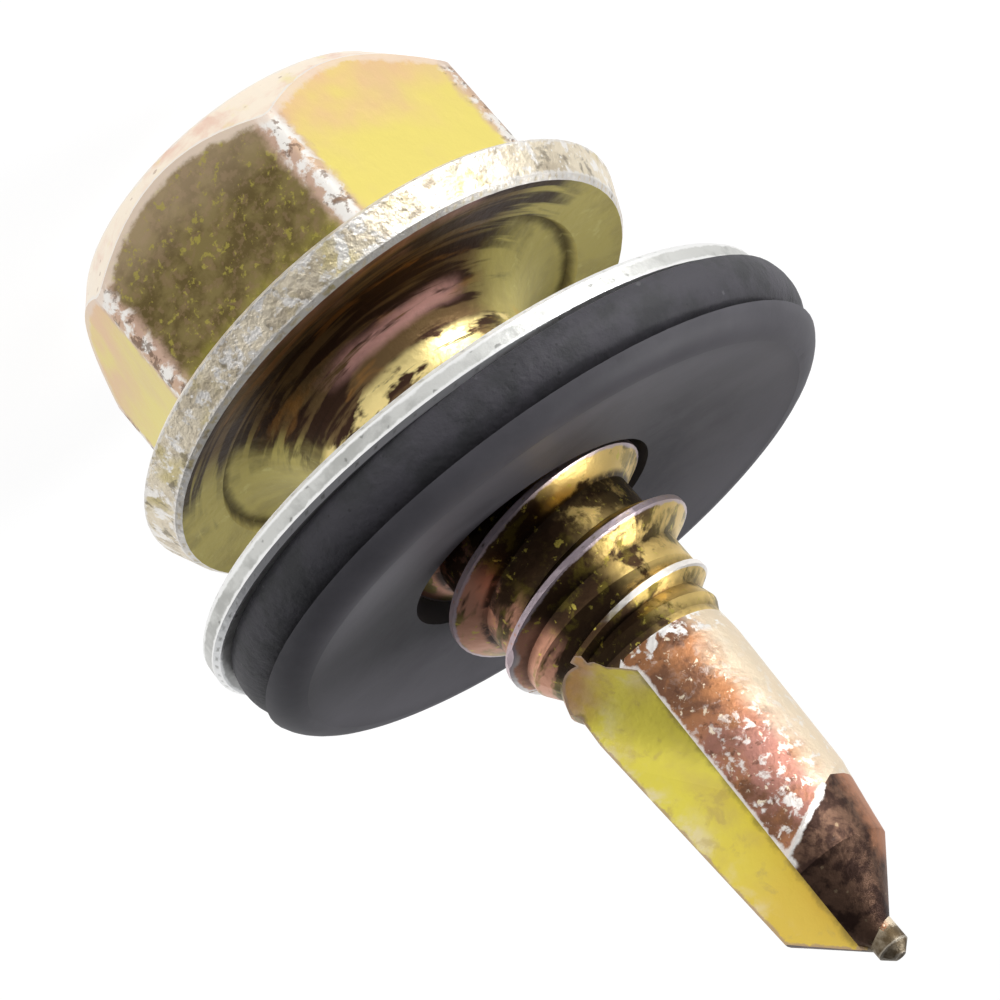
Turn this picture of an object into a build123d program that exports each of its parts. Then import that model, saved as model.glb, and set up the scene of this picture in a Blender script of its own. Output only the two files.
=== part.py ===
from build123d import *
import math
import os

# A hex washer head self drilling screw with its bonded sealing washer, in millimetres.
# The screw stands on the flat top of its head, on its own axis, with the drill point up.
# Heights along the shank are measured from the bearing rim of the flange towards the point.
# Angles around the axis are in degrees, counterclockwise seen from the point.

# Head: hexagon and flange
across_flats = 10.0
corner_round = 0.4
head_height = 6.2
chamfer_circle = 9.2
chamfer_angle = 52.0
flange_diameter = 13.5
rim_thickness = 1.0
rim_taper = 0.32
rim_round = 0.12
flange_rise = 0.5

# Underside of the flange and the trumpet shaped neck
dish_diameter = 10.2
dish_depth = 0.12
step_depth = 0.22
step_width = 0.15
neck_diameter = 5.5
neck_fillet = 1.85

# Thread
thread_pitch = 1.8
thread_diameter = 5.96
root_diameter = 4.6
crest_flat = 0.14
flank_angle = 30.0
thread_full_end = 6.95
thread_full_turns = 2
thread_phase = -116.0
lead_in_drop = 0.35
run_out_pitch = 1.42
sinking_turns = 0.4
sinking_drop = 0.43
fading_turns = 0.82
fading_drop = 0.26
root_overlap = 0.1

# Shoulder between the thread and the drill body
shoulder_height = 8.95
shoulder_diameter = 4.24
groove_diameter = 3.96
groove_width = 0.5

# Drill point
drill_diameter = 4.04
drill_tip_diameter = 3.52
drill_start = 9.9
corner_height = 16.2
point_half_angle = 44.0
nib_diameter = 0.78
nib_end = 18.1
nib_round = 0.24

# Two forged flutes, and the relief behind each lip; the halves of the point are unequal.
# The cutters that shape them reach well past the body.
flute_angle = -74.6
flute_offset = 0.29
flute_tilt = 2.0
web_thickness = 0.1
scoop_radius = 3.6
scoop_start = 13.4
scoop_slant = 55.0
relief_drop = 0.5
relief_taper_length = 0.7
relief_shoulder_diameter = 3.28
relief_half_angle = 36.5
near_offset = 0.12
near_offset_angle = 60.0
far_offset = 0.55
far_offset_angle = -90.0
cutter_reach = 4 * nib_end

# Sealing washer, loose on the shank and leaning as it lies there
washer_height = 4.06
washer_lean = 6.45
washer_lean_angle = 72.2
washer_play = 0.27
plate_diameter = 15.5
plate_thickness = 0.65
plate_round = 0.12
seal_inset = 0.05
seal_wall = 1.3
seal_belly = 0.06
seal_groove = 0.42
seal_lip_inset = 0.05
seal_bulge = 0.5
seal_roll = 0.9
seal_dish = 0.4
seal_shift = 0.36
seal_shift_angle = 180.0


def turned(outline):
    """Solid of revolution about the screw's axis from the corners of its outline."""
    corners = [(radius, 0, height) for radius, height in outline]
    return revolve(make_face(Polyline(*corners, close=True)), Axis.Z, 360)


def hexagon():
    """The hexagon with rounded corners and the cone chamfer on its top."""
    outline = RegularPolygon(across_flats / 2, 6, major_radius=False, rotation=30)
    prism = extrude(outline, head_height - rim_thickness)
    prism = fillet(prism.edges().filter_by(Axis.Z), corner_round)
    edge = chamfer_circle / 2
    rise = (across_flats - edge) * math.tan(math.radians(chamfer_angle))
    cone = turned([
        (0, 0),
        (edge, 0),
        (across_flats, rise),
        (across_flats, head_height + rise),
        (0, head_height + rise),
    ])
    return prism & cone


def blank():
    """Flange, neck, thread core, drill body and nib, turned in one piece."""
    rim = flange_diameter / 2
    rim_low = rim - rim_taper
    neck = neck_diameter / 2
    root = root_diameter / 2
    groove = groove_diameter / 2
    dish = dish_diameter / 2
    nib = nib_diameter / 2
    tip = drill_tip_diameter / 2
    inside = across_flats / 2 - corner_round
    floor = -dish_depth - step_depth
    bend = neck + neck_fillet
    middle = neck_fillet * (1 - math.sqrt(0.5))
    nib_start = corner_height + (tip - nib) / math.tan(math.radians(point_half_angle))
    under = Polyline(
        (0, -rim_thickness - flange_rise),
        (inside, -rim_thickness - flange_rise),
        (rim - rim_round, -rim_thickness),
        (rim, rim_round - rim_thickness),
        (rim_low, -rim_round),
        (rim_low - rim_round, 0),
        (dish, -dish_depth),
        (dish - step_width, floor),
        (bend, floor),
    )
    trumpet = ThreePointArc(
        (bend, floor),
        (neck + middle, floor + middle),
        (neck, floor + neck_fillet),
    )
    point = Polyline(
        (neck, floor + neck_fillet),
        (root, floor + neck_fillet + neck - root),
        (root, shoulder_height - 2 * groove_width),
        (groove, shoulder_height - groove_width),
        (shoulder_diameter / 2, shoulder_height),
        (groove, shoulder_height + groove_width / 2),
        (drill_diameter / 2, drill_start),
        (tip, corner_height),
        (nib, nib_start),
        (nib, nib_end - nib_round),
        (nib - nib_round, nib_end),
        (0, nib_end),
        (0, -rim_thickness - flange_rise),
    )
    face = make_face(Plane.XZ * (under + trumpet + point))
    return Pos(0, 0, head_height) * revolve(face, Axis.Z, 360)


def ridge(pitch, turns, start, end, height):
    """Helical ridge of the thread, whose crest goes from one radius to another."""
    slope = math.tan(math.radians(flank_angle))
    depth = (thread_diameter - groove_diameter) / 2 + root_overlap
    half_crest = crest_flat / 2
    half_foot = half_crest + depth * slope
    section = make_face(Polyline(
        (start - depth, 0, -half_foot),
        (start, 0, -half_crest),
        (start, 0, half_crest),
        (start - depth, 0, half_foot),
        close=True,
    ))
    rise = pitch * turns
    cone = math.atan2(end - start, rise)
    path = Helix(pitch / math.cos(cone), rise, start - depth, cone_angle=math.degrees(cone))
    angle = thread_phase + 360 * (height - thread_full_end) / pitch
    return Pos(0, 0, head_height + height) * Rot(0, 0, angle) * sweep(section, path, is_frenet=True)


def thread_turns():
    """The right hand thread in pieces of at most one turn, from its lead-in to its run-out."""
    crest = thread_diameter / 2
    first = thread_full_end - thread_full_turns * thread_pitch
    turns = [ridge(thread_pitch, 1, crest - lead_in_drop, crest, first - thread_pitch)]
    for index in range(thread_full_turns):
        turns.append(ridge(thread_pitch, 1, crest, crest, first + index * thread_pitch))
    sunk = crest - sinking_drop
    fading_start = thread_full_end + sinking_turns * run_out_pitch
    turns.append(ridge(run_out_pitch, sinking_turns, crest, sunk, thread_full_end))
    turns.append(ridge(run_out_pitch, fading_turns, sunk, sunk - fading_drop, fading_start))
    return turns


def flute():
    """Cutter of one flute: a flat floor that scoops out of the body under the thread."""
    side = thread_diameter
    floor = web_thickness / 2
    middle = scoop_radius * (1 - math.sqrt(0.5))
    arc = ThreePointArc(
        (floor + scoop_radius, scoop_start - scoop_radius),
        (floor + middle, scoop_start - scoop_radius + middle),
        (floor, scoop_start),
    )
    sides = Polyline(
        (floor, scoop_start),
        (floor, cutter_reach),
        (side, cutter_reach),
        (side, scoop_start - scoop_radius),
        (floor + scoop_radius, scoop_start - scoop_radius),
    )
    profile = make_face(Plane.XZ * (arc + sides))
    fall = math.radians(scoop_slant)
    away = Vector(0, math.cos(fall), -math.sin(fall))
    scoop = extrude(profile, side / math.cos(fall), dir=away)
    rake = Box(cutter_reach, side, cutter_reach, align=(Align.CENTER, Align.MIN, Align.CENTER))
    rake = Pos(0, flute_offset, drill_start) * Rot(-flute_tilt, 0, 0) * rake
    cutter = scoop & rake
    return Pos(0, 0, head_height) * Rot(0, 0, flute_angle) * cutter


def relief(offset, offset_angle):
    """Cutter of the relief behind the lip of one land, set off centre by the forging."""
    nib = nib_diameter / 2
    shoulder = relief_shoulder_diameter / 2
    inner = nib / 2
    outer = drill_diameter
    low = corner_height - relief_drop
    widening = (drill_tip_diameter / 2 - shoulder) / relief_taper_length
    end = low + (shoulder - inner) / math.tan(math.radians(relief_half_angle))
    ring = turned([
        (outer, low - (outer - shoulder) / widening),
        (shoulder, low),
        (inner, end),
        (inner, cutter_reach),
        (outer, cutter_reach),
    ])
    away = math.radians(offset_angle)
    ring = Pos(offset * math.cos(away), offset * math.sin(away), 0) * ring
    turn = math.degrees(math.atan2(web_thickness / 2, flute_offset))
    sides = (cutter_reach, cutter_reach, 2 * cutter_reach)
    half = Box(*sides, align=(Align.MIN, Align.CENTER, Align.CENTER))
    cutter = (ring & (Rot(0, 0, -turn) * half)) - Cylinder(nib, 2 * cutter_reach)
    return Pos(0, 0, head_height) * Rot(0, 0, flute_angle) * cutter


def screw():
    """The whole screw: head, neck, thread and forged drill point, one piece of steel."""
    opposite = Rot(0, 0, 180)
    flutes = [flute(), opposite * flute()]
    reliefs = [
        relief(near_offset, near_offset_angle),
        opposite * relief(far_offset, far_offset_angle),
    ]
    solid = hexagon() + blank()
    for cutter in flutes + reliefs:
        solid = solid - cutter
    for turn in thread_turns():
        for cutter in flutes:
            turn = turn - cutter
        solid = solid + turn
    return solid


def washer_hole():
    """Radius of the hole in the plate and in the rubber."""
    return thread_diameter / 2 + washer_play


def lay(solid):
    """Puts a washer part, drawn from the top of the plate, where it lies on the shank."""
    middle = (plate_thickness + seal_wall + seal_bulge) / 2
    lean = Rot(0, 0, washer_lean_angle) * Rot(0, washer_lean, 0) * Rot(0, 0, -washer_lean_angle)
    return Pos(0, 0, head_height + washer_height) * lean * Pos(0, 0, -middle) * solid


def washer_plate():
    """The flat steel disc on the flange side of the washer."""
    edge = plate_diameter / 2
    return lay(turned([
        (washer_hole(), 0),
        (edge - plate_round, 0),
        (edge, plate_round),
        (edge, plate_thickness - plate_round),
        (edge - plate_round, plate_thickness),
        (washer_hole(), plate_thickness),
    ]))


def rubber_seal():
    """The rubber under the plate: a bellied wall, a groove and a wide soft lip."""
    wall = plate_diameter / 2 - seal_inset
    lip = wall - seal_lip_inset
    wall_end = plate_thickness + seal_wall
    face = wall_end + seal_bulge
    start = math.asin(1 - seal_bulge / seal_roll)
    half_way = (start + math.pi / 2) / 2
    roll_middle = lip - seal_roll * math.cos(start)
    roll_height = face - seal_roll
    slope = seal_dish / (roll_middle - washer_hole())
    belly = ThreePointArc(
        (wall, plate_thickness),
        (wall + seal_belly, plate_thickness + seal_wall / 2),
        (wall - seal_groove, wall_end),
    )
    roll = ThreePointArc(
        (lip, wall_end),
        (roll_middle + seal_roll * math.cos(half_way), roll_height + seal_roll * math.sin(half_way)),
        (roll_middle, face),
    )
    rest = Polyline(
        (roll_middle, face),
        (0, face - slope * roll_middle),
        (0, plate_thickness),
        (wall, plate_thickness),
    )
    groove = Line((wall - seal_groove, wall_end), (lip, wall_end))
    section = make_face(Plane.XZ * (belly + groove + roll + rest))
    body = Rot(0, 0, seal_shift_angle) * Pos(seal_shift, 0, 0) * revolve(section, Axis.Z, 360)
    opening = turned([
        (0, 0),
        (washer_hole(), 0),
        (washer_hole(), 2 * face),
        (0, 2 * face),
    ])
    return lay(body - opening)


os.makedirs("parts", exist_ok=True)
export_step(screw(), "parts/screw.step")
export_step(washer_plate(), "parts/washer_plate.step")
export_step(rubber_seal(), "parts/rubber_seal.step")
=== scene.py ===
import math
import bpy
import bmesh
import numpy as np
from mathutils import Euler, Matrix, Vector, kdtree


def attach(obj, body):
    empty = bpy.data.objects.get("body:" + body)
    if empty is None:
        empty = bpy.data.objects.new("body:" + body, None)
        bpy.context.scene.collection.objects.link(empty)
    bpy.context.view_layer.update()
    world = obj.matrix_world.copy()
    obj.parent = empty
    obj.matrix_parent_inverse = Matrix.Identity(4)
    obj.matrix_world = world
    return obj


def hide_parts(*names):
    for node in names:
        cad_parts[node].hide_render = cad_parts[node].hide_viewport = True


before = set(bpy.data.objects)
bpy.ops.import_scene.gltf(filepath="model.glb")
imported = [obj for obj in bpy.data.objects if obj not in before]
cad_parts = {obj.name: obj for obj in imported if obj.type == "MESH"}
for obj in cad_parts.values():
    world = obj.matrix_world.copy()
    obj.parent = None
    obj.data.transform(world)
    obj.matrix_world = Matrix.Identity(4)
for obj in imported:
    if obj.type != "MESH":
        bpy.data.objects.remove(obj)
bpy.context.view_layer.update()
print("frame loaded:", ", ".join(sorted(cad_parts)))

# Metres on the screw's own axis, drill point up. Looks give lengths in millimetres.
mm = 0.001
nearSide = -74.6  # degrees round the axis, the middle of the side that the camera sees


# a colour from its usual 0 to 255 values
def tone(red, green, blue):
    parts = [value / 255 for value in (red, green, blue)]
    return tuple(p / 12.92 if p <= 0.04045 else ((p + 0.055) / 1.055) ** 2.4 for p in parts) + (1,)


def addNode(tree, kind, **settings):
    node = tree.nodes.new(kind)
    for name, value in settings.items():
        setattr(node, name, value)
    return node


# puts a number, a colour or another node's output into a socket
def feed(tree, socket, value):
    if isinstance(value, bpy.types.NodeSocket):
        tree.links.new(value, socket)
    else:
        socket.default_value = value


def calc(tree, operation, *values):
    node = addNode(tree, "ShaderNodeMath", operation=operation)
    for socket, value in zip(node.inputs, values):
        feed(tree, socket, value)
    return node.outputs[0]


def softStep(tree, value, low, high):
    node = addNode(tree, "ShaderNodeMapRange", interpolation_type="SMOOTHSTEP")
    for name, part in (("Value", value), ("From Min", low), ("From Max", high)):
        feed(tree, node.inputs[name], part)
    return node.outputs["Result"]


# the object's own coordinates, in millimetres
def ownPlace(tree):
    place = addNode(tree, "ShaderNodeTexCoord").outputs["Object"]
    mapping = addNode(tree, "ShaderNodeMapping")
    feed(tree, mapping.inputs["Vector"], place)
    mapping.inputs["Scale"].default_value = [1 / mm] * 3
    return mapping.outputs["Vector"]


# angle in radians from the side the camera sees, distance from the axis, and height
def roundPlace(tree):
    turn = addNode(tree, "ShaderNodeMapping")
    feed(tree, turn.inputs["Vector"], ownPlace(tree))
    turn.inputs["Rotation"].default_value[2] = math.radians(-nearSide)
    split = addNode(tree, "ShaderNodeSeparateXYZ")
    feed(tree, split.inputs[0], turn.outputs["Vector"])
    angle = calc(tree, "ARCTAN2", split.outputs["Y"], split.outputs["X"])
    squares = [calc(tree, "POWER", split.outputs[axis], 2.0) for axis in "XY"]
    return angle, calc(tree, "SQRT", calc(tree, "ADD", *squares)), split.outputs["Z"]


def noise(tree, place, scale, shift, detail=4, roughness=0.6, distortion=0.0):
    node = addNode(tree, "ShaderNodeTexNoise", noise_dimensions="4D")
    values = {"Vector": place, "Scale": scale, "W": shift, "Detail": detail,
              "Roughness": roughness, "Distortion": distortion}
    for name, value in values.items():
        feed(tree, node.inputs[name], value)
    return node.outputs["Fac"]


def flipped(tree, mask):
    return calc(tree, "SUBTRACT", 1.0, mask)


# a value that noise from -0.5 to 0.5 makes uneven
def wobbled(tree, value, rough, amount):
    return calc(tree, "ADD", value, calc(tree, "MULTIPLY", calc(tree, "SUBTRACT", rough, 0.5), amount))


# a node group with named number inputs and one named output
def newGroup(name, inputs, output="Mask"):
    tree = bpy.data.node_groups.new(name, "ShaderNodeTree")
    for label, value in inputs.items():
        socket = tree.interface.new_socket(name=label, in_out="INPUT", socket_type="NodeSocketFloat")
        socket.default_value = value
    tree.interface.new_socket(name=output, in_out="OUTPUT", socket_type="NodeSocketFloat")
    given = addNode(tree, "NodeGroupInput").outputs
    result = addNode(tree, "NodeGroupOutput").inputs[output]
    return tree, given, result


# Effects that the finishes share. This one makes cloudy patches.
def makeMottle():
    inputs = {"Scale": 1, "Low": 0.45, "High": 0.6, "Shift": 0, "Bend": 0.3, "Detail": 6}
    tree, given, result = newGroup("mottle", inputs)
    value = noise(tree, ownPlace(tree), given["Scale"], given["Shift"],
                  given["Detail"], 0.6, given["Bend"])
    feed(tree, result, softStep(tree, value, given["Low"], given["High"]))


# streaks that run round the screw's axis, as plating does along a thread and a turned neck
def makeStreaks():
    inputs = {"Around": 0.8, "Across": 3, "Low": 0.45, "High": 0.6, "Shift": 0}
    tree, given, result = newGroup("streaks", inputs)
    angle, radius, height = roundPlace(tree)
    place = addNode(tree, "ShaderNodeCombineXYZ")
    feed(tree, place.inputs[0], calc(tree, "MULTIPLY", angle, given["Around"]))
    feed(tree, place.inputs[1], calc(tree, "MULTIPLY", radius, given["Across"]))
    feed(tree, place.inputs[2], calc(tree, "MULTIPLY", height, given["Across"]))
    value = noise(tree, place.outputs[0], 1.0, given["Shift"], 4, 0.55, 0.3)
    feed(tree, result, softStep(tree, value, given["Low"], given["High"]))


# small ragged spots, each its own size
def makeFlecks():
    tree, given, result = newGroup("flecks", {"Scale": 5, "Size": 0.25, "Share": 0.5, "Shift": 0})
    cells = addNode(tree, "ShaderNodeTexVoronoi", voronoi_dimensions="4D")
    for name, value in (("Vector", ownPlace(tree)), ("Scale", given["Scale"]), ("W", given["Shift"])):
        feed(tree, cells.inputs[name], value)
    rough = noise(tree, ownPlace(tree), calc(tree, "MULTIPLY", given["Scale"], 1.7), given["Shift"], 3)
    away = calc(tree, "ADD", cells.outputs["Distance"], calc(tree, "MULTIPLY_ADD", rough, 0.7, -0.35))
    dot = flipped(tree, softStep(tree, away, calc(tree, "MULTIPLY", given["Size"], 0.6), given["Size"]))
    picked = addNode(tree, "ShaderNodeSeparateColor")
    feed(tree, picked.inputs["Color"], cells.outputs["Color"])
    kept = calc(tree, "LESS_THAN", picked.outputs["Red"], given["Share"])
    feed(tree, result, calc(tree, "MULTIPLY", dot, kept))


# metal rubbed bare along the edges, ragged as it wears; on one thread crest the same mask carries a
# painted highlight
def makeWear(name, attribute):
    tree, given, result = newGroup(name, {"Width": 0.2, "Ragged": 0.5, "Scale": 3, "Shift": 0})
    away = addNode(tree, "ShaderNodeAttribute", attribute_name=attribute).outputs["Fac"]
    rough = noise(tree, ownPlace(tree), given["Scale"], given["Shift"], 5, 0.65)
    uneven = calc(tree, "MULTIPLY", given["Ragged"], calc(tree, "MULTIPLY_ADD", rough, 2.4, -1.45))
    wide = calc(tree, "MULTIPLY", given["Width"], calc(tree, "ADD", 1.0, uneven))
    wide = calc(tree, "MAXIMUM", wide, 0.001)
    feed(tree, result, flipped(tree, softStep(tree, away, calc(tree, "MULTIPLY", wide, 0.4), wide)))


# painted shade along the inner corners; the rubber face also takes a painted highlight band further out
# from them
def makeCrevice():
    tree, given, result = newGroup("crevice", {"Width": 0.4, "Scale": 2, "Shift": 0})
    inner = addNode(tree, "ShaderNodeAttribute", attribute_name="creviceDistance").outputs["Fac"]
    rough = noise(tree, ownPlace(tree), given["Scale"], given["Shift"], 4)
    away = calc(tree, "SUBTRACT", inner, calc(tree, "MULTIPLY_ADD", rough, 0.4, -0.2))
    feed(tree, result, flipped(tree, softStep(tree, away, 0.0, given["Width"])))


# rises towards one or more directions round the axis, in degrees from the side that is seen
def makeTurned():
    inputs = {"Count": 1, "Angle": 0, "Low": 0.3, "High": 0.7, "Wobble": 0.2, "Scale": 0.5, "Shift": 0}
    tree, given, result = newGroup("turned", inputs)
    angle = calc(tree, "SUBTRACT", roundPlace(tree)[0], calc(tree, "RADIANS", given["Angle"]))
    wave = calc(tree, "COSINE", calc(tree, "MULTIPLY", angle, given["Count"]))
    wave = calc(tree, "MULTIPLY_ADD", wave, 0.5, 0.5)
    rough = noise(tree, ownPlace(tree), given["Scale"], given["Shift"], 4)
    wave = wobbled(tree, wave, rough, given["Wobble"])
    feed(tree, result, softStep(tree, wave, given["Low"], given["High"]))


# rises with the distance from the axis, or with height along the screw
def makeAlong(name, measure):
    tree, given, result = newGroup(name, {"Low": 0, "High": 1, "Wobble": 0.2, "Scale": 1, "Shift": 0})
    value = roundPlace(tree)[measure]
    rough = noise(tree, ownPlace(tree), given["Scale"], given["Shift"], 4)
    value = wobbled(tree, value, rough, given["Wobble"])
    feed(tree, result, softStep(tree, value, given["Low"], given["High"]))


# the height that the bump reads: broad unevenness with a finer grain
def makeSurface():
    inputs = {"Coarse": 0.8, "Fine": 6, "Grit": 0.4, "Shift": 0}
    tree, given, result = newGroup("surface", inputs, "Height")
    broad = noise(tree, ownPlace(tree), given["Coarse"], given["Shift"], 3)
    grain = noise(tree, ownPlace(tree), given["Fine"], given["Shift"], 5, 0.65)
    feed(tree, result, calc(tree, "ADD", broad, calc(tree, "MULTIPLY", grain, given["Grit"])))


makeMottle()
makeStreaks()
makeFlecks()
makeWear("edgeWearAndHighlight", "edgeDistance")
makeWear("cornerWear", "cornerDistance")
makeCrevice()
makeTurned()
makeAlong("alongRadius", 1)
makeAlong("alongHeight", 2)
makeSurface()


def useGroup(tree, name, values, output="Mask"):
    node = addNode(tree, "ShaderNodeGroup", node_tree=bpy.data.node_groups[name])
    for label, value in values.items():
        node.inputs[label].default_value = value
    return node.outputs[output]


# A finish is a ground colour with layers over it. A layer shows where all its masks do.
def makeFinish(name, look):
    material = bpy.data.materials.new(name)
    material.use_nodes = True
    tree = material.node_tree
    shader = tree.nodes["Principled BSDF"]
    for label, value in look["shader"].items():
        shader.inputs[label].default_value = value
    colour, roughness = look["ground"], look["roughness"]
    for layer in look["layers"]:
        mask = layer.get("strength", 1.0)
        for group, values in layer["masks"]:
            flip = group.startswith("not ")
            part = useGroup(tree, group.replace("not ", ""), values)
            part = flipped(tree, part) if flip else part
            mask = calc(tree, "MULTIPLY", part, mask)
        mix = addNode(tree, "ShaderNodeMix", data_type="RGBA")
        for index, value in ((0, mask), (6, colour), (7, layer["colour"])):
            feed(tree, mix.inputs[index], value)
        colour = mix.outputs[2]
        if "roughness" in layer:
            blend = addNode(tree, "ShaderNodeMix", data_type="FLOAT")
            for index, value in ((0, mask), (2, roughness), (3, layer["roughness"])):
                feed(tree, blend.inputs[index], value)
            roughness = blend.outputs[0]
    feed(tree, shader.inputs["Base Color"], colour)
    feed(tree, shader.inputs["Roughness"], roughness)
    bump = addNode(tree, "ShaderNodeBump")
    bump.inputs["Strength"].default_value = look["bump"]
    bump.inputs["Distance"].default_value = look["relief"] * mm
    feed(tree, bump.inputs["Height"], useGroup(tree, "surface", look["surface"], "Height"))
    feed(tree, shader.inputs["Normal"], bump.outputs["Normal"])
    return material


copyLook = {
    "merge": 0.002,  # corners of loose triangles this close are one
    "pointStep": 0.08,  # between the points that stand for an edge
    "edgeBend": 18,  # degrees between smooth normals that make an edge
    "bluntBend": 6,  # the same where edges are blunt
    "furthest": 5.0,  # distances to an edge are kept up to here
    "rounds": 8,  # of cutting long edges in two, at most
}


def stepsAlong(start, end):
    count = max(2, int((end - start).length / (copyLook["pointStep"] * mm)) + 1)
    return [start.lerp(end, step / (count - 1)) for step in range(count)]


# a finer copy of a CAD node, with its smooth normals and each corner's distance to the edges
def fineCopy(nodeName, pieceName, longestEdge, wornLines=(), softEdgesFrom=1e9):
    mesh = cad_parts[nodeName].data.copy()
    mesh.name = pieceName
    mesh.materials.clear()
    normals = np.zeros(len(mesh.loops) * 3, np.float32)
    mesh.corner_normals.foreach_get("vector", normals)
    mesh.attributes.new("cadNormal", "FLOAT_VECTOR", "CORNER").data.foreach_set("vector", normals)
    work = bmesh.new()
    work.from_mesh(mesh)
    bmesh.ops.remove_doubles(work, verts=work.verts, dist=copyLook["merge"] * mm)
    cadNormal = work.loops.layers.float_vector["cadNormal"]
    edgePoints, innerPoints, cornerPoints = [], [], []
    for edge in work.edges:
        if len(edge.link_loops) != 2:
            continue
        here, there = edge.link_loops
        bend = here[cadNormal].angle(there.link_loop_next[cadNormal], 0)
        start, end = edge.verts[0].co, edge.verts[1].co
        blunt = min(start.z, end.z) > softEdgesFrom * mm
        if bend > math.radians(copyLook["bluntBend" if blunt else "edgeBend"]):
            (edgePoints if edge.is_convex else innerPoints).extend(stepsAlong(start, end))
    for start, end in wornLines:
        cornerPoints.extend(stepsAlong(Vector(start) * mm, Vector(end) * mm))
    for level in range(copyLook["rounds"]):
        longEdges = [edge for edge in work.edges if edge.calc_length() > longestEdge * mm]
        if not longEdges:
            break
        bmesh.ops.subdivide_edges(work, edges=longEdges, cuts=1)
        bmesh.ops.triangulate(work, faces=[face for face in work.faces if len(face.verts) > 3])
    work.to_mesh(mesh)
    work.free()
    measured = {"edgeDistance": edgePoints, "creviceDistance": innerPoints,
                "cornerDistance": cornerPoints}
    for name, points in measured.items():
        tree = kdtree.KDTree(max(1, len(points)))
        for index, point in enumerate(points or [Vector((1, 1, 1))]):
            tree.insert(point, index)
        tree.balance()
        away = [min(tree.find(vertex.co)[2] / mm, copyLook["furthest"]) for vertex in mesh.vertices]
        mesh.attributes.new(name, "FLOAT", "POINT").data.foreach_set("value", away)
    # the smooth normals come back, except on slivers where they point another way
    faceNormals = np.zeros(len(mesh.polygons) * 3, np.float32)
    mesh.polygons.foreach_get("normal", faceNormals)
    faceNormals = np.repeat(faceNormals.reshape(-1, 3), 3, axis=0)
    smooth = np.zeros(len(mesh.loops) * 3, np.float32)
    mesh.attributes["cadNormal"].data.foreach_get("vector", smooth)
    smooth = smooth.reshape(-1, 3)
    smooth /= np.maximum(np.linalg.norm(smooth, axis=1, keepdims=True), 1e-9)
    wrong = (smooth * faceNormals).sum(1) < 0.5
    smooth[wrong] = faceNormals[wrong]
    mesh.shade_smooth()
    mesh.normals_split_custom_set(smooth)
    mesh.attributes.remove(mesh.attributes["cadNormal"])
    piece = bpy.data.objects.new(pieceName, mesh)
    bpy.context.scene.collection.objects.link(piece)
    print(pieceName, "has", len(mesh.polygons), "triangles,", int(wrong.sum() / 3), "slivers mended")
    return piece


# gives each face the finish that choose() names from its middle and normal, in millimetres
def dress(piece, finishes, choose):
    names = list(finishes)
    for name in names:
        piece.data.materials.append(makeFinish(name, finishes[name]))
    mesh = piece.data
    middles = np.zeros(len(mesh.polygons) * 3)
    mesh.polygons.foreach_get("center", middles)
    normals = np.zeros(len(mesh.polygons) * 3)
    mesh.polygons.foreach_get("normal", normals)
    index = choose(middles.reshape(-1, 3) / mm, normals.reshape(-1, 3), names)
    mesh.polygons.foreach_set("material_index", index.astype(np.int32))
    mesh.update()


# the screw: yellow passivated zinc on steel, worn silver on its edges
lemon = tone(228, 212, 118)
paleLemon = tone(240, 232, 156)
olive = tone(126, 112, 72)
darkOlive = tone(92, 78, 48)
darkBrown = tone(66, 46, 38)
brown = tone(112, 82, 62)
gold = tone(228, 190, 92)
brightGold = tone(255, 232, 158)
cream = tone(240, 226, 200)
silver = tone(236, 232, 226)
lilac = tone(206, 190, 198)
grey = tone(168, 160, 146)
# painted shade: a near black brown for the thread's roots and the thin dark lines round the neck
paintedShadeBrown = tone(46, 38, 32)

metal = {"Metallic": 1.0}
matt = {"Metallic": 0.0, "Specular IOR Level": 0.5}

# painted reflection: every second side of the hexagon is painted dark, standing in for the dark
# reflection that the seen side shows
darkReflectionFaces = ("turned", {"Count": 3, "Angle": 134.6, "Low": 0.44, "High": 0.56, "Wobble": 0.06})

# where the hexagon's corners stand, and the part of each that is rubbed
cornerLook = {"radius": 5.71, "first": -90, "from": 1.0, "to": 5.0}


def hexCorners():
    lines = []
    for index in range(6):
        angle = math.radians(cornerLook["first"] + 60 * index)
        across = [cornerLook["radius"] * math.cos(angle), cornerLook["radius"] * math.sin(angle)]
        lines.append((across + [cornerLook["from"]], across + [cornerLook["to"]]))
    return lines


# painted reflection: the thread is dark brown on the side that is seen, standing in for dark
# reflections there
darkReflectionSide = ("turned", {"Count": 1, "Angle": 4, "Low": 0.62, "High": 0.86, "Wobble": 0.4, "Scale": 0.7})

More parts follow.
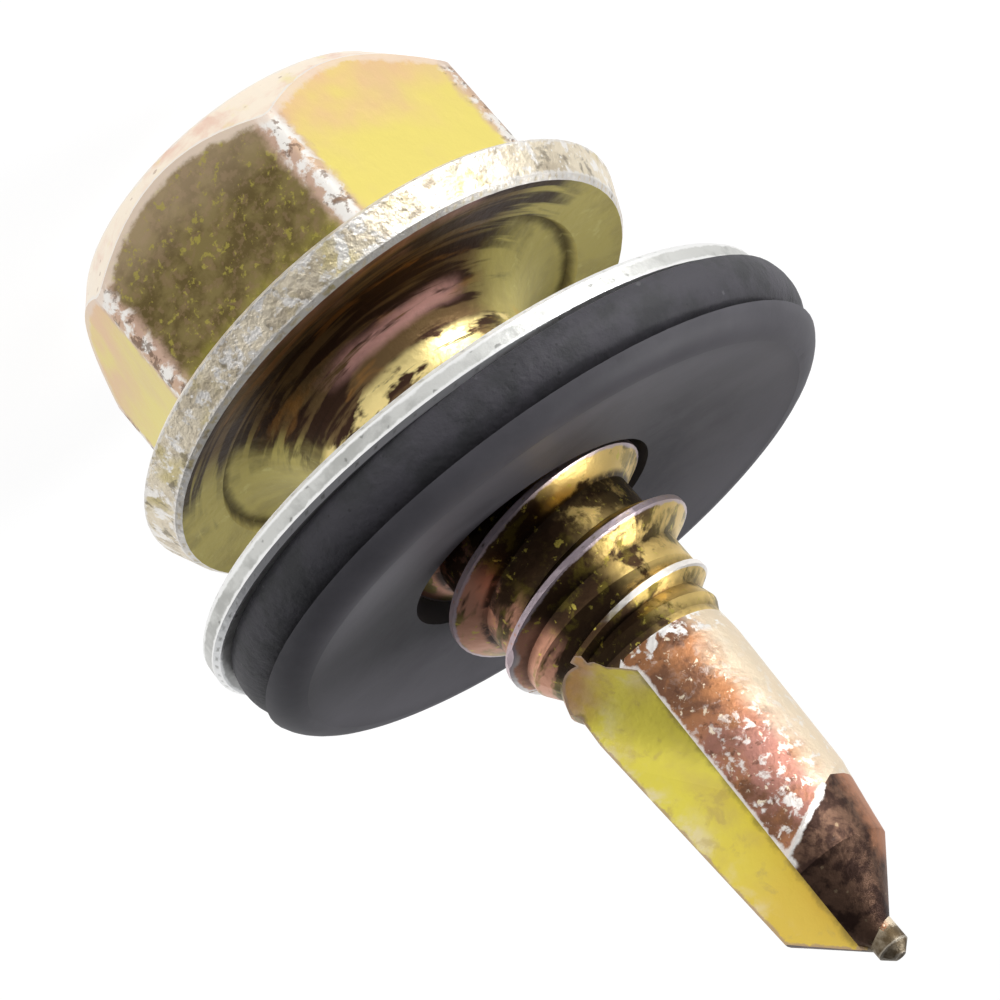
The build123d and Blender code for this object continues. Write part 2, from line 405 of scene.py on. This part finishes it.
screwLook = {
    "longestEdge": 0.22,
    "softEdgesFrom": 20.6,  # millimetres up the screw, where the point's edges are blunt
    "finishes": {
        "hexSide": {
            "shader": metal, "ground": lemon, "roughness": 0.38,
            "layers": [
                {"masks": [("not alongHeight", {"Low": 1.2, "High": 3.2, "Wobble": 2.8, "Scale": 0.5}),
                           ("mottle", {"Scale": 0.55, "Low": 0.3, "High": 0.6,
                                       "Shift": 17, "Bend": 0.1, "Detail": 2})],
                 "colour": tone(226, 182, 152), "strength": 0.8},
                {"masks": [("mottle", {"Scale": 0.4, "Low": 0.5, "High": 0.76, "Shift": 9,
                                       "Bend": 0.0, "Detail": 3})],
                 "colour": tone(222, 196, 140), "strength": 0.6},
                # painted reflection on every second side: olive ground with darker, brown, pale and
                # green patches and flecks
                {"masks": [darkReflectionFaces],
                 "colour": olive, "roughness": 0.46},
                {"masks": [darkReflectionFaces,
                           ("mottle", {"Scale": 1.5, "Low": 0.4, "High": 0.6, "Shift": 3,
                                       "Bend": 0.2})],
                 "colour": darkOlive, "strength": 0.8, "roughness": 0.5},
                {"masks": [darkReflectionFaces,
                           ("mottle", {"Scale": 4.2, "Low": 0.5, "High": 0.6, "Shift": 5,
                                       "Bend": 0.1})],
                 "colour": tone(136, 114, 86), "strength": 0.55},
                {"masks": [darkReflectionFaces,
                           ("not alongHeight", {"Low": 0.9, "High": 2.6, "Wobble": 1.2, "Scale": 1.2})],
                 "colour": tone(188, 166, 138), "strength": 0.45},
                {"masks": [darkReflectionFaces,
                           ("alongHeight", {"Low": 4.0, "High": 5.2, "Wobble": 1.6, "Scale": 1.4})],
                 "colour": tone(176, 170, 74), "strength": 0.7},
                {"masks": [darkReflectionFaces,
                           ("mottle", {"Scale": 5.5, "Low": 0.56, "High": 0.64,
                                       "Shift": 1, "Bend": 0.1})],
                 "colour": tone(170, 160, 76), "strength": 0.6},
                {"masks": [("cornerWear", {"Width": 0.62, "Ragged": 0.6, "Scale": 1.8})],
                 "colour": tone(206, 174, 156), "strength": 0.85, "roughness": 0.4},
                {"masks": [("cornerWear", {"Width": 0.5, "Ragged": 0.8, "Scale": 2.6, "Shift": 4}),
                           ("mottle", {"Scale": 2.2, "Low": 0.46, "High": 0.54,
                                       "Shift": 6, "Bend": 0.3})],
                 "colour": silver, "roughness": 0.34},
                {"masks": [("cornerWear", {"Width": 0.55, "Ragged": 0.7, "Scale": 2.0, "Shift": 8}),
                           ("mottle", {"Scale": 3.6, "Low": 0.53, "High": 0.6,
                                       "Shift": 16, "Bend": 0.2})],
                 "colour": tone(116, 94, 78), "strength": 0.75, "roughness": 0.5},
                {"masks": [("edgeWearAndHighlight", {"Width": 0.36, "Ragged": 1.0, "Scale": 1.8})],
                 "colour": tone(230, 212, 196), "strength": 0.75, "roughness": 0.4},
            ],
            "bump": 0.45, "relief": 0.05,
            "surface": {"Coarse": 0.9, "Fine": 5, "Grit": 0.45, "Shift": 2},
        },
        "headTop": {
            "shader": metal, "ground": tone(246, 234, 216), "roughness": 0.4,
            "layers": [
                {"masks": [("mottle", {"Scale": 0.8, "Low": 0.46, "High": 0.68, "Shift": 5})],
                 "colour": tone(230, 192, 172), "strength": 0.8},
                {"masks": [("mottle", {"Scale": 1.0, "Low": 0.54, "High": 0.7, "Shift": 7})],
                 "colour": tone(236, 222, 150), "strength": 0.6},
                {"masks": [("flecks", {"Scale": 4.2, "Size": 0.3, "Share": 0.35, "Shift": 4})],
                 "colour": tone(176, 150, 130), "strength": 0.6},
                {"masks": [("edgeWearAndHighlight", {"Width": 0.16, "Ragged": 1.0, "Scale": 2.2})],
                 "colour": silver, "strength": 0.7, "roughness": 0.34},
            ],
            "bump": 0.45, "relief": 0.05,
            "surface": {"Coarse": 0.9, "Fine": 5, "Grit": 0.5, "Shift": 4},
        },
        # partly the rim's pale speckled plating, partly painted highlight: the pale ground and white
        # mottles and flecks stand in for the rim's white shine
        "rim": {
            "shader": metal, "ground": tone(236, 224, 200), "roughness": 0.42,
            "layers": [
                {"masks": [("mottle", {"Scale": 1.4, "Low": 0.46, "High": 0.62, "Shift": 1})],
                 "colour": tone(190, 176, 152), "strength": 0.75},
                {"masks": [("mottle", {"Scale": 0.7, "Low": 0.52, "High": 0.68, "Shift": 6})],
                 "colour": tone(206, 190, 118), "strength": 0.6},
                {"masks": [("mottle", {"Scale": 2.4, "Low": 0.54, "High": 0.66, "Shift": 13})],
                 "colour": tone(124, 114, 100), "strength": 0.7, "roughness": 0.5},
                {"masks": [("mottle", {"Scale": 2.0, "Low": 0.5, "High": 0.58, "Shift": 8})],
                 "colour": tone(250, 246, 240), "strength": 0.9, "roughness": 0.36},
                {"masks": [("flecks", {"Scale": 7.5, "Size": 0.36, "Share": 0.5, "Shift": 2})],
                 "colour": tone(250, 246, 240), "strength": 0.8, "roughness": 0.34},
                {"masks": [("edgeWearAndHighlight", {"Width": 0.11, "Ragged": 1.0, "Scale": 3.4})],
                 "colour": silver, "strength": 0.8, "roughness": 0.34},
            ],
            "bump": 0.8, "relief": 0.06,
            "surface": {"Coarse": 1.8, "Fine": 6, "Grit": 0.7, "Shift": 3},
        },
        "underside": {
            "shader": metal, "ground": tone(220, 206, 124), "roughness": 0.44,
            "layers": [
                {"masks": [("mottle", {"Scale": 0.6, "Low": 0.44, "High": 0.66, "Shift": 3})],
                 "colour": tone(196, 180, 112), "strength": 0.7},
                # painted shade and reflection: brown, dark brown and orange-brown streaks on the side
                # of the dish and neck that is seen
                {"masks": [("turned", {"Count": 1, "Low": 0.7, "High": 0.86,
                                       "Wobble": 0.16, "Scale": 0.6})],
                 "colour": brown, "strength": 0.9},
                {"masks": [("turned", {"Count": 1, "Low": 0.56, "High": 0.8,
                                       "Wobble": 0.5, "Scale": 0.7, "Shift": 2}),
                           ("streaks", {"Around": 1.1, "Across": 2.6, "Low": 0.44,
                                        "High": 0.54, "Shift": 3})],
                 "colour": darkBrown, "strength": 0.95},
                {"masks": [("turned", {"Count": 1, "Low": 0.72, "High": 0.9, "Wobble": 0.2}),
                           ("streaks", {"Around": 1.6, "Across": 1.8, "Low": 0.56,
                                        "High": 0.66, "Shift": 9})],
                 "colour": tone(178, 128, 72), "strength": 0.7},
                # painted reflection: a pink ring round the neck on the side that is seen only
                {"masks": [("alongHeight", {"Low": 6.1, "High": 6.3, "Wobble": 0.2}),
                           ("not alongHeight", {"Low": 6.4, "High": 6.62, "Wobble": 0.3}),
                           ("turned", {"Count": 1, "Angle": -10, "Low": 0.88,
                                       "High": 0.98, "Wobble": 0.14, "Scale": 1.0}),
                           ("streaks", {"Around": 1.4, "Across": 3.0, "Low": 0.38,
                                        "High": 0.48, "Shift": 19})],
                 "colour": tone(232, 176, 168), "strength": 0.95, "roughness": 0.34},
                # painted highlight: a bright gold ring round the neck, broken into streaks
                {"masks": [("alongHeight", {"Low": 6.85, "High": 7.05, "Wobble": 0.25}),
                           ("streaks", {"Around": 2.4, "Across": 2.4, "Low": 0.46,
                                        "High": 0.54, "Shift": 5})],
                 "colour": brightGold, "strength": 0.9, "roughness": 0.34},
                # painted highlight: a gold band beside it, away from the seen side
                {"masks": [("alongHeight", {"Low": 6.6, "High": 7.0, "Wobble": 0.3}),
                           ("not turned", {"Count": 1, "Low": 0.5, "High": 0.85, "Wobble": 0.3}),
                           ("streaks", {"Around": 2.2, "Across": 3.0, "Low": 0.5,
                                        "High": 0.6, "Shift": 11})],
                 "colour": gold, "strength": 0.85},
                # painted shade: thin dark lines round the neck between its bright rings
                {"masks": [("alongHeight", {"Low": 6.5, "High": 6.9, "Wobble": 0.2}),
                           ("streaks", {"Around": 0.7, "Across": 7.0, "Low": 0.6,
                                        "High": 0.64, "Shift": 7})],
                 "colour": paintedShadeBrown, "strength": 0.9, "roughness": 0.5},
                # painted shade in the inner corner under the head
                {"masks": [("crevice", {"Width": 0.3, "Scale": 1.5})],
                 "colour": darkOlive, "strength": 0.8, "roughness": 0.55},
                {"masks": [("mottle", {"Scale": 2.4, "Low": 0.58, "High": 0.7, "Shift": 12}),
                           ("not turned", {"Count": 1, "Low": 0.6, "High": 0.85})],
                 "colour": paleLemon, "strength": 0.4},
            ],
            "bump": 0.55, "relief": 0.06,
            "surface": {"Coarse": 1.1, "Fine": 5, "Grit": 0.45, "Shift": 5},
        },
        "thread": {
            "shader": metal, "ground": tone(176, 152, 84), "roughness": 0.36,
            "layers": [
                {"masks": [("streaks", {"Around": 1.0, "Across": 2.4, "Low": 0.42,
                                        "High": 0.56, "Shift": 2})],
                 "colour": tone(128, 112, 56)},
                # painted reflection: dark brown with olive patches on the seen side of the thread
                {"masks": [darkReflectionSide],
                 "colour": darkBrown, "strength": 0.92},
                {"masks": [darkReflectionSide,
                           ("mottle", {"Scale": 2.2, "Low": 0.5, "High": 0.62, "Shift": 15})],
                 "colour": tone(126, 112, 50), "strength": 0.75},
                # painted reflection: the thread's flanks turn light gold on one side of the seen side
                # and pink on the other
                {"masks": [("turned", {"Count": 1, "Angle": -72, "Low": 0.72, "High": 0.9,
                                       "Wobble": 0.4}),
                           ("mottle", {"Scale": 1.3, "Low": 0.4, "High": 0.5, "Shift": 8})],
                 "colour": tone(240, 208, 130), "strength": 0.9},
                {"masks": [("turned", {"Count": 1, "Angle": 72, "Low": 0.84, "High": 0.95,
                                       "Wobble": 0.16}),
                           ("not streaks", {"Around": 1.0, "Across": 1.6, "Low": 0.52,
                                            "High": 0.6, "Shift": 12})],
                 "colour": tone(224, 164, 136), "strength": 0.9},
                # painted shade: near black patches in the roots of the thread turns next to the washer
                {"masks": [("not alongRadius", {"Low": 2.34, "High": 2.5, "Wobble": 0.12}),
                           ("mottle", {"Scale": 1.6, "Low": 0.4, "High": 0.5, "Shift": 23,
                                       "Bend": 0.2}),
                           ("not alongHeight", {"Low": 12.4, "High": 13.0, "Wobble": 0.5})],
                 "colour": tone(62, 46, 34), "strength": 0.9},
                {"masks": [("mottle", {"Scale": 4.4, "Low": 0.6, "High": 0.67, "Shift": 3})],
                 "colour": tone(222, 204, 96), "strength": 0.8},
                # painted shade in the thread's roots
                {"masks": [("crevice", {"Width": 0.25, "Scale": 2})],
                 "colour": paintedShadeBrown, "strength": 0.5, "roughness": 0.5},
                {"masks": [("edgeWearAndHighlight", {"Width": 0.14, "Ragged": 0.9, "Scale": 2.4}),
                           ("alongRadius", {"Low": 2.36, "High": 2.42, "Wobble": 0.02})],
                 "colour": lilac, "strength": 0.85, "roughness": 0.34},
                # painted highlight: a white line along one thread crest as it runs out towards the
                # point
                {"masks": [("edgeWearAndHighlight", {"Width": 0.24, "Ragged": 0.8, "Scale": 2.0, "Shift": 3}),
                           ("alongHeight", {"Low": 13.6, "High": 13.75, "Wobble": 0.02}),
                           ("alongRadius", {"Low": 2.315, "High": 2.34, "Wobble": 0.005}),
                           ("not alongHeight", {"Low": 14.9, "High": 15.0, "Wobble": 0.02})],
                 "colour": tone(252, 248, 244), "strength": 0.9, "roughness": 0.34},
            ],
            "bump": 0.45, "relief": 0.05,
            "surface": {"Coarse": 1.3, "Fine": 6, "Grit": 0.45, "Shift": 6},
        },
        "land": {
            "shader": metal, "ground": tone(166, 116, 80), "roughness": 0.5,
            "layers": [
                {"masks": [("mottle", {"Scale": 1.2, "Low": 0.44, "High": 0.6, "Shift": 4})],
                 "colour": tone(112, 80, 64), "strength": 0.85},
                {"masks": [("mottle", {"Scale": 0.8, "Low": 0.42, "High": 0.58, "Shift": 10}),
                           ("alongHeight", {"Low": 17.2, "High": 19.4, "Wobble": 1.6, "Scale": 0.6})],
                 "colour": tone(176, 126, 114), "strength": 0.85},
                {"masks": [("mottle", {"Scale": 3.8, "Low": 0.56, "High": 0.64, "Shift": 20})],
                 "colour": tone(92, 66, 54), "strength": 0.6},
                # painted highlight: the land turns cream on one side, 104 degrees round from the side
                # that is seen
                {"masks": [("turned", {"Count": 1, "Angle": -104, "Low": 0.6,
                                       "High": 0.86, "Wobble": 0.34, "Scale": 1.2})],
                 "colour": cream, "strength": 0.85},
                {"masks": [("not turned", {"Count": 1, "Low": 0.1, "High": 0.3, "Wobble": 0.2})],
                 "colour": gold, "strength": 0.6},
                {"masks": [("mottle", {"Scale": 3.4, "Low": 0.53, "High": 0.62, "Shift": 11}),
                           ("alongHeight", {"Low": 15.5, "High": 20.5, "Wobble": 3.0, "Scale": 0.6})],
                 "colour": silver, "strength": 0.85, "roughness": 0.34},
                {"masks": [("mottle", {"Scale": 5.0, "Low": 0.58, "High": 0.66, "Shift": 5})],
                 "colour": cream, "strength": 0.8, "roughness": 0.36},
                # painted highlight: near white patches at the land's end next to the shoulder ring
                {"masks": [("not alongHeight", {"Low": 15.95, "High": 16.2, "Wobble": 0.3}),
                           ("mottle", {"Scale": 2.2, "Low": 0.5, "High": 0.57, "Shift": 14})],
                 "colour": tone(252, 250, 246), "strength": 0.9, "roughness": 0.34},
                {"masks": [("edgeWearAndHighlight", {"Width": 0.14, "Ragged": 1.0, "Scale": 3.2})],
                 "colour": silver, "strength": 0.75, "roughness": 0.36},
            ],
            "bump": 0.6, "relief": 0.05,
            "surface": {"Coarse": 1.5, "Fine": 7, "Grit": 0.55, "Shift": 7},
        },
        "flute": {
            "shader": metal, "ground": tone(236, 222, 96), "roughness": 0.44,
            "layers": [
                {"masks": [("alongHeight", {"Low": 18.5, "High": 22.5, "Wobble": 2.0, "Scale": 0.7})],
                 "colour": gold, "strength": 0.7},
                {"masks": [("mottle", {"Scale": 0.6, "Low": 0.5, "High": 0.72, "Shift": 2})],
                 "colour": tone(214, 190, 116), "strength": 0.5},
                {"masks": [("alongRadius", {"Low": 1.2, "High": 2.0, "Wobble": 1.2, "Scale": 0.8}),
                           ("mottle", {"Scale": 1.3, "Low": 0.42, "High": 0.62, "Shift": 6})],
                 "colour": cream, "strength": 0.85},
                {"masks": [("not alongHeight", {"Low": 14.8, "High": 15.9, "Wobble": 0.9})],
                 "colour": tone(190, 140, 92), "strength": 0.9},
                {"masks": [("mottle", {"Scale": 1.8, "Low": 0.56, "High": 0.68, "Shift": 18})],
                 "colour": tone(200, 176, 110), "strength": 0.5},
                # painted shade in the flute's inner corners
                {"masks": [("crevice", {"Width": 0.18, "Scale": 3})], "colour": olive, "strength": 0.6},
                {"masks": [("edgeWearAndHighlight", {"Width": 0.12, "Ragged": 1.0, "Scale": 3.5})],
                 "colour": tone(176, 150, 130), "strength": 0.8, "roughness": 0.36},
            ],
            "bump": 0.35, "relief": 0.05,
            "surface": {"Coarse": 0.9, "Fine": 6, "Grit": 0.4, "Shift": 8},
        },
        "reliefCut": {
            "shader": metal, "ground": tone(104, 80, 66), "roughness": 0.48,
            "layers": [
                {"masks": [("mottle", {"Scale": 2.0, "Low": 0.44, "High": 0.58, "Shift": 5})],
                 "colour": tone(62, 46, 40)},
                {"masks": [("turned", {"Count": 1, "Angle": -88, "Low": 0.9, "High": 0.98,
                                       "Wobble": 0.16, "Scale": 2.0}),
                           ("not alongHeight", {"Low": 22.0, "High": 22.7, "Wobble": 0.8,
                                                "Scale": 1.6})],
                 "colour": tone(196, 138, 104), "strength": 0.8},
                {"masks": [("flecks", {"Scale": 5.0, "Size": 0.3, "Share": 0.3, "Shift": 7})],
                 "colour": tone(160, 140, 112), "strength": 0.6},
                {"masks": [("edgeWearAndHighlight", {"Width": 0.15, "Ragged": 1.0, "Scale": 3}),
                           ("not alongHeight", {"Low": 21.65, "High": 21.8, "Wobble": 0.05})],
                 "colour": silver, "strength": 0.9, "roughness": 0.34},
            ],
            "bump": 0.6, "relief": 0.05,
            "surface": {"Coarse": 1.8, "Fine": 7, "Grit": 0.55, "Shift": 9},
        },
        "nib": {
            "shader": metal, "ground": tone(150, 138, 118), "roughness": 0.56,
            "layers": [
                {"masks": [("mottle", {"Scale": 2.0, "Low": 0.42, "High": 0.6, "Shift": 3})],
                 "colour": tone(96, 82, 62)},
                {"masks": [("edgeWearAndHighlight", {"Width": 0.07, "Ragged": 1.0, "Scale": 4})],
                 "colour": grey, "strength": 0.8},
            ],
            "bump": 0.8, "relief": 0.05,
            "surface": {"Coarse": 2.2, "Fine": 7, "Grit": 0.5, "Shift": 10},
        },
    },
}


# Heights and radii in millimetres where the finishes meet. The outline before the flutes are
# cut tells a cut face from a turned one.
screwZones = {
    "turnedHeights": [8.2, 14.15, 14.65, 15.15, 15.4, 16.1, 22.4, 23.82, 24.3],
    "turnedRadii": [2.3, 2.3, 1.98, 2.12, 1.98, 2.02, 1.76, 0.39, 0.39],
    "chamferTop": 4.0, "hexTop": 5.25, "hexRadius": 5.85,
    "rimTop": 6.25, "rimRadius": 6.2, "dishStart": 5.8, "dishRadius": 6.3, "neckTop": 7.95,
    "cutsStart": 12.5, "scoopStart": 14.66, "scoopEnd": 15.1, "landStart": 15.6,
    "pointStart": 20.5, "nibStart": 23.7, "nibRadius": 0.45,
}


def screwFaces(middle, normal, names):
    zones = screwZones
    x, y, z = middle.T
    upward = normal[:, 2]
    radius = np.hypot(x, y)
    outward = (x * normal[:, 0] + y * normal[:, 1]) / np.maximum(radius, 1e-6)
    sideways = np.abs(x * normal[:, 1] - y * normal[:, 0]) / np.maximum(radius, 1e-6)
    turned = np.interp(z, zones["turnedHeights"], zones["turnedRadii"])
    index = np.full(len(z), names.index("thread"))

    def give(name, where):
        index[where] = names.index(name)

    give("rim", z < zones["hexTop"])
    give("hexSide", (z < zones["hexTop"]) & (radius < zones["hexRadius"]) & (upward > -0.5))
    give("headTop", (z < zones["chamferTop"]) & (upward < -0.2))
    give("rim", (z >= zones["hexTop"]) & (z < zones["rimTop"]) & (radius > zones["rimRadius"]))
    dish = (z >= zones["dishStart"]) & (z < zones["neckTop"])
    give("underside", dish & (radius <= zones["dishRadius"]))
    scoop = (z > zones["scoopStart"]) & (z < zones["scoopEnd"]) & (upward > 0.3)
    cut = (radius < turned - 0.04) | (sideways > 0.22) | (scoop & (radius < turned + 0.03))
    give("flute", cut & (z > zones["cutsStart"]) & (z <= zones["landStart"]))
    give("flute", z > zones["landStart"])
    give("land", (z > zones["landStart"]) & (outward > 0.7) & (radius > turned - 0.15))
    point = z > zones["pointStart"]
    give("land", point & (outward > 0.45) & (sideways < 0.6) & (upward <= 0.1))
    give("reliefCut", point & (outward > 0.4) & (upward > 0.1))
    give("nib", (z > zones["nibStart"]) & (radius < zones["nibRadius"]))
    return index


screwPiece = fineCopy("screw", "screwBody", screwLook["longestEdge"], hexCorners(),
                      screwLook["softEdgesFrom"])
dress(screwPiece, screwLook["finishes"], screwFaces)
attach(screwPiece, "screw")
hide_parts("screw")
print("screw dressed")

# the washer: a pale galvanised plate on black vulcanised rubber
plateLook = {
    "longestEdge": 0.3,
    "finishes": {
        "plate": {
            "shader": metal, "ground": tone(206, 206, 202), "roughness": 0.4,
            "layers": [
                {"masks": [("mottle", {"Scale": 1.2, "Low": 0.45, "High": 0.65, "Shift": 3})],
                 "colour": tone(170, 170, 166), "strength": 0.8},
                {"masks": [("flecks", {"Scale": 3.5, "Size": 0.3, "Share": 0.4, "Shift": 2})],
                 "colour": tone(120, 120, 116), "strength": 0.7, "roughness": 0.5},
                {"masks": [("edgeWearAndHighlight", {"Width": 0.12, "Ragged": 0.8, "Scale": 2.5})],
                 "colour": tone(238, 238, 236), "roughness": 0.28},
            ],
            "bump": 0.5, "relief": 0.04,
            "surface": {"Coarse": 1.4, "Fine": 6, "Grit": 0.6, "Shift": 1},
        },
    },
}

rubberLook = {
    "longestEdge": 0.3,
    "lean": (0.03434, 0.10695, 0.99367),  # the washer's own axis
    "middle": (0.0, 0.0, 10.26),  # of the washer's thickness
    "grooveHeight": 0.727,  # above that middle, where the side wall meets the face
    "wallFrom": 6.9,  # out from the washer's own axis
    "finishes": {
        "rubberSide": {
            "shader": matt, "ground": tone(62, 60, 66), "roughness": 0.62,
            "layers": [
                {"masks": [("mottle", {"Scale": 1.1, "Low": 0.42, "High": 0.64, "Shift": 3})],
                 "colour": tone(44, 44, 47)},
                {"masks": [("flecks", {"Scale": 3.4, "Size": 0.22, "Share": 0.25, "Shift": 6})],
                 "colour": tone(104, 104, 106), "strength": 0.5},
                {"masks": [("flecks", {"Scale": 6.0, "Size": 0.25, "Share": 0.25, "Shift": 2})],
                 "colour": tone(26, 26, 28), "strength": 0.7},
                # painted shade in the groove of the rubber's side wall
                {"masks": [("crevice", {"Width": 0.6, "Scale": 1.0})],
                 "colour": tone(38, 36, 40), "strength": 0.8},
            ],
            "bump": 0.7, "relief": 0.08,
            "surface": {"Coarse": 1.6, "Fine": 5, "Grit": 0.6, "Shift": 2},
        },
        "rubberFace": {
            "shader": matt, "ground": tone(82, 80, 85), "roughness": 0.58,
            "layers": [
                {"masks": [("mottle", {"Scale": 0.35, "Low": 0.42, "High": 0.66, "Shift": 8})],
                 "colour": tone(62, 60, 65)},
                {"masks": [("mottle", {"Scale": 5.0, "Low": 0.56, "High": 0.7, "Shift": 5})],
                 "colour": tone(86, 85, 88), "strength": 0.35},
                # painted highlight: a lighter band out from the groove
                {"masks": [("crevice", {"Width": 3.8, "Scale": 0.4})],
                 "colour": tone(112, 110, 116), "strength": 0.7},
                # painted shade: a dark strip right along the groove
                {"masks": [("crevice", {"Width": 1.0, "Scale": 0.8})],
                 "colour": tone(50, 48, 53), "strength": 0.9},
            ],
            "bump": 0.35, "relief": 0.03,
            "surface": {"Coarse": 0.6, "Fine": 7, "Grit": 0.4, "Shift": 3},
        },
    },
}


def plateFaces(middle, normal, names):
    return np.zeros(len(middle), int)


def rubberFaces(middle, normal, names):
    lean = np.array(rubberLook["lean"])
    rest = middle - np.array(rubberLook["middle"])
    height = rest @ lean
    away = np.linalg.norm(rest - np.outer(height, lean), axis=1)
    index = np.full(len(middle), names.index("rubberFace"))
    side = (away > rubberLook["wallFrom"]) & (height < rubberLook["grooveHeight"])
    index[side] = names.index("rubberSide")
    return index


platePiece = fineCopy("washer_plate", "washerDisc", plateLook["longestEdge"])
dress(platePiece, plateLook["finishes"], plateFaces)
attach(platePiece, "washer")
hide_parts("washer_plate")

rubberPiece = fineCopy("rubber_seal", "rubberRing", rubberLook["longestEdge"])
dress(rubberPiece, rubberLook["finishes"], rubberFaces)
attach(rubberPiece, "washer")
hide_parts("rubber_seal")
print("washer dressed")

# camera, floor and soft studio light
cameraLook = {
    "place": (0.0324352, -0.1177519, 0.0595813),
    "turn": (-61.8358, -37.1396, 177.4215),  # degrees about X, Y and Z
    "lens": 208.315,
}

cameraData = bpy.data.cameras.new("photoCamera")
cameraData.lens = cameraLook["lens"]
cameraData.sensor_width = 36
cameraData.clip_start = 0.001
cameraData.clip_end = 10
camera = bpy.data.objects.new("photoCamera", cameraData)
camera.location = cameraLook["place"]
camera.rotation_euler = Euler([math.radians(angle) for angle in cameraLook["turn"]])
bpy.context.scene.collection.objects.link(camera)
bpy.context.scene.camera = camera

floorLook = {"size": 1.2, "colour": (0.86, 0.86, 0.86, 1), "shown": 0.8, "glow": 1.17}

floorMesh = bpy.data.meshes.new("floor")
work = bmesh.new()
bmesh.ops.create_grid(work, x_segments=1, y_segments=1, size=floorLook["size"])
bmesh.ops.translate(work, verts=work.verts, vec=(0, 0, -0.01 * mm))
work.to_mesh(floorMesh)
work.free()
floor = bpy.data.objects.new("floor", floorMesh)
bpy.context.scene.collection.objects.link(floor)

floorMaterial = bpy.data.materials.new("paleFloor")
floorMaterial.use_nodes = True
tree = floorMaterial.node_tree
plain = tree.nodes["Principled BSDF"]
plain.inputs["Base Color"].default_value = floorLook["colour"]
plain.inputs["Roughness"].default_value = 0.9
plain.inputs["Specular IOR Level"].default_value = 0.0
white = addNode(tree, "ShaderNodeEmission")
white.inputs["Strength"].default_value = floorLook["glow"]
rays = addNode(tree, "ShaderNodeLightPath").outputs
seen = calc(tree, "MAXIMUM", rays["Is Glossy Ray"], rays["Is Transmission Ray"])
seen = calc(tree, "MAXIMUM", rays["Is Camera Ray"], seen)
mix = addNode(tree, "ShaderNodeMixShader")
feed(tree, mix.inputs[0], calc(tree, "MULTIPLY", seen, floorLook["shown"]))
feed(tree, mix.inputs[1], plain.outputs[0])
feed(tree, mix.inputs[2], white.outputs[0])
feed(tree, tree.nodes["Material Output"].inputs["Surface"], mix.outputs[0])
floorMesh.materials.append(floorMaterial)

# the room: pale at the horizon, darker overhead
worldLook = {"horizon": (0.85, 0.86, 0.88, 1), "overhead": (0.14, 0.14, 0.15, 1), "rise": 0.55}

world = bpy.data.worlds.new("studio")
world.use_nodes = True
bpy.context.scene.world = world
tree = world.node_tree
split = addNode(tree, "ShaderNodeSeparateXYZ")
feed(tree, split.inputs[0], addNode(tree, "ShaderNodeTexCoord").outputs["Generated"])
mix = addNode(tree, "ShaderNodeMix", data_type="RGBA")
high = softStep(tree, split.outputs["Z"], 0.05, worldLook["rise"])
for index, value in ((0, high), (6, worldLook["horizon"]), (7, worldLook["overhead"])):
    feed(tree, mix.inputs[index], value)
feed(tree, tree.nodes["Background"].inputs["Color"], mix.outputs[2])
tree.nodes["Background"].inputs["Strength"].default_value = 1.0

# lamps are placed by the photograph's frame: metres to the right, up and towards the camera
lampLooks = {
    "keyPanel": {"place": (0.10, 0.16, 0.10), "size": 0.10, "watts": 0.55},
    "fillPanel": {"place": (-0.18, 0.02, 0.14), "size": 0.14, "watts": 0.25},
    "edgePanel": {"place": (0.16, -0.04, 0.02), "size": 0.06, "watts": 0.12},
}
target = Vector((0, 0, 0.012))  # half way up the screw
axes = camera.rotation_euler.to_matrix()
for name, look in lampLooks.items():
    lampData = bpy.data.lights.new(name, "AREA")
    lampData.shape = "DISK"
    lampData.size = look["size"]
    lampData.energy = look["watts"]
    lamp = bpy.data.objects.new(name, lampData)
    lamp.location = target + axes @ Vector(look["place"])
    lamp.rotation_euler = (lamp.location - target).to_track_quat("Z", "Y").to_euler()
    bpy.context.scene.collection.objects.link(lamp)
    print(name, "at", [round(part, 3) for part in lamp.location])

bpy.context.scene.view_settings.view_transform = "Standard"
print("stage and lamps set")
